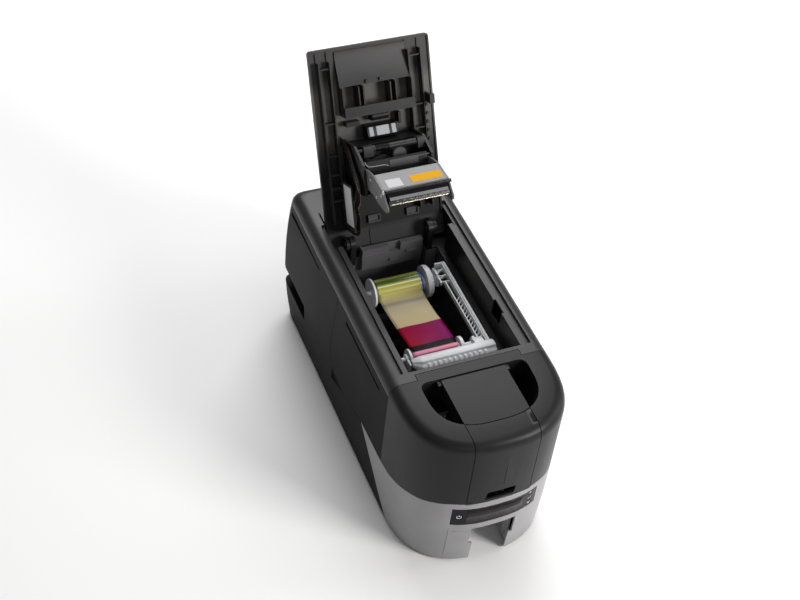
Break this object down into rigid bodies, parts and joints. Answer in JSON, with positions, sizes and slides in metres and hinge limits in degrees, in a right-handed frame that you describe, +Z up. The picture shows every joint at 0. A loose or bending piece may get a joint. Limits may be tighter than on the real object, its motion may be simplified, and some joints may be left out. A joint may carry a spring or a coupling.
{
  "type": "id card printer",
  "caption": "Desktop ID card printer with a hinged top cover, print head on the cover, lift-out ribbon cassette, front card hopper with door and flap, and a fascia with display.",
  "frame": {"origin": "on the table, under the middle of the bounding box of the printer with its cover open", "axes": "+X to the printer's right seen from its front, +Y to its back, +Z up"},
  "size_m": [0.2, 0.4836, 0.4152],
  "materials": {
    "black_plastic": "fine satin texture",
    "grey_plastic": "satin",
    "gloss_black": "glossy",
    "rubber": "matt",
    "roller_rubber": "ground rubber on a steel shaft",
    "cleaning_rubber": "tacky rubber",
    "circuit_board": "solder resist",
    "steel": "bright",
    "steel_sheet": "plated sheet",
    "dark_metal": "dark anodised",
    "white_label": "blank label stock",
    "yellow_label": "blank label stock",
    "light_grey_plastic": "satin",
    "yellow_film": "glossy film",
    "magenta_film": "glossy film"
  },
  "bodies": {
    "printer_body": {"base_tray": "black_plastic", "rubber_feet": "rubber", "left_side_cover": "black_plastic", "right_side_cover": "black_plastic", "rear_cover": "black_plastic", "deck_cover": "black_plastic", "front_cowl": "black_plastic", "front_fascia": "grey_plastic", "display_lens": "gloss_black", "display_module": "circuit_board", "card_outlet": "grey_plastic", "door_hinge_pins": "steel", "flap_hinge_pins": "steel", "hopper_liner": "black_plastic", "card_hopper": "black_plastic", "bay_liner": "black_plastic", "rear_bay_panel": "black_plastic", "left_frame": "steel_sheet", "right_frame": "steel_sheet", "frame_rods": "steel", "card_guide": "black_plastic", "drive_motor": "dark_metal", "drive_belt": "rubber", "main_board": "circuit_board", "power_supply": "steel_sheet", "power_inlet": "black_plastic", "data_sockets": "steel_sheet", "cover_hinge_pins": "steel", "case_screws": "steel"},
    "top_cover": {"top_cover": "black_plastic", "cover_ribs": "black_plastic", "cover_panel": "black_plastic", "cover_latch": "black_plastic", "cover_sticker": "white_label", "cover_clips": "steel", "head_carrier": "black_plastic"},
    "print_head": {"head_bracket": "steel_sheet", "head_plate": "steel_sheet", "head_labels": "yellow_label", "print_head": "dark_metal", "head_springs": "steel"},
    "front_door": {"front_door": "black_plastic"},
    "hopper_flap": {"hopper_flap": "black_plastic"},
    "power_button": {"power_button": "gloss_black"},
    "up_button": {"up_button": "gloss_black"},
    "enter_button": {"enter_button": "gloss_black"},
    "down_button": {"down_button": "gloss_black"},
    "ribbon_cassette": {"ribbon_cassette": "light_grey_plastic", "ribbon_film": "magenta_film"},
    "supply_spool": {"supply_spool": "light_grey_plastic", "supply_roll": "yellow_film"},
    "takeup_spool": {"takeup_spool": "light_grey_plastic", "takeup_roll": "magenta_film"},
    "pick_roller": {"pick_roller": "roller_rubber"},
    "infeed_roller": {"infeed_roller": "roller_rubber"},
    "cleaning_roller": {"cleaning_roller": "cleaning_rubber"},
    "platen_roller": {"platen_roller": "roller_rubber"},
    "outfeed_roller": {"outfeed_roller": "roller_rubber"},
    "card_flipper": {"card_flipper": "black_plastic"},
    "motor_pulley": {"motor_pulley": "steel"}
  },
  "joints": [
    {"name": "cover_hinge", "type": "hinge", "parent": "printer_body", "child": "top_cover", "pos_m": [0, 0.1162, 0.2031], "axis": [-1, 0, 0], "range_deg": [-116.4, 0], "deforming": ["ribbon_film"]},
    {"name": "head_float", "type": "slide", "parent": "top_cover", "child": "print_head", "axis": [0, 0.8957, -0.4446], "range_m": [0, 0.001], "stiffness_N_per_m": 3000, "springref_m": -0.0015},
    {"name": "door_hinge", "type": "hinge", "parent": "printer_body", "child": "front_door", "pos_m": [0, -0.229, 0.13], "axis": [1, 0, 0], "range_deg": [0, 35]},
    {"name": "flap_hinge", "type": "hinge", "parent": "printer_body", "child": "hopper_flap", "pos_m": [0, -0.1374, 0.2135], "axis": [-1, 0, 0], "range_deg": [0, 70]},
    {"name": "power_press", "type": "slide", "parent": "printer_body", "child": "power_button", "axis": [0, 1, 0], "range_m": [0, 0.0008], "stiffness_N_per_m": 500, "springref_m": -0.0006},
    {"name": "up_press", "type": "slide", "parent": "printer_body", "child": "up_button", "axis": [0, 1, 0], "range_m": [0, 0.0008], "stiffness_N_per_m": 500, "springref_m": -0.0006},
    {"name": "enter_press", "type": "slide", "parent": "printer_body", "child": "enter_button", "axis": [0, 1, 0], "range_m": [0, 0.0008], "stiffness_N_per_m": 500, "springref_m": -0.0006},
    {"name": "down_press", "type": "slide", "parent": "printer_body", "child": "down_button", "axis": [0, 1, 0], "range_m": [0, 0.0008], "stiffness_N_per_m": 500, "springref_m": -0.0006},
    {"name": "cassette_lift", "type": "slide", "parent": "printer_body", "child": "ribbon_cassette", "axis": [0, 0, 1], "range_m": [0, 0.06]},
    {"name": "supply_spin", "type": "hinge", "parent": "ribbon_cassette", "child": "supply_spool", "pos_m": [0, 0.0662, 0.16], "axis": [1, 0, 0], "continuous": true},
    {"name": "takeup_spin", "type": "hinge", "parent": "ribbon_cassette", "child": "takeup_spool", "pos_m": [0, -0.054, 0.166], "axis": [1, 0, 0], "continuous": true},
    {"name": "platen_spin", "type": "hinge", "parent": "printer_body", "child": "platen_roller", "pos_m": [0, 0.0383, 0.082], "axis": [1, 0, 0], "continuous": true},
    {"name": "infeed_spin", "type": "hinge", "parent": "printer_body", "child": "infeed_roller", "pos_m": [0, -0.0997, 0.10601], "axis": [1, 0, 0], "continuous": true},
    {"name": "outfeed_spin", "type": "hinge", "parent": "printer_body", "child": "outfeed_roller", "pos_m": [0, 0.0953, 0.0735], "axis": [1, 0, 0], "continuous": true},
    {"name": "motor_spin", "type": "hinge", "parent": "printer_body", "child": "motor_pulley", "pos_m": [0, 0.0583, 0.046], "axis": [1, 0, 0], "continuous": true},
    {"name": "pick_spin", "type": "hinge", "parent": "printer_body", "child": "pick_roller", "pos_m": [0, -0.1647, 0.1134], "axis": [1, 0, 0], "continuous": true},
    {"name": "cleaner_spin", "type": "hinge", "parent": "printer_body", "child": "cleaning_roller", "pos_m": [0, -0.0737, 0.11628], "axis": [1, 0, 0], "continuous": true},
    {"name": "flipper_spin", "type": "hinge", "parent": "printer_body", "child": "card_flipper", "pos_m": [0, 0.1643, 0.075], "axis": [1, 0, 0], "continuous": true}
  ],
  "couplings": [
    {"joint": "takeup_spin", "follows": "supply_spin", "ratio": 1.5789},
    {"joint": "infeed_spin", "follows": "platen_spin", "ratio": 1},
    {"joint": "outfeed_spin", "follows": "platen_spin", "ratio": 1},
    {"joint": "motor_spin", "follows": "platen_spin", "ratio": 1}
  ]
}
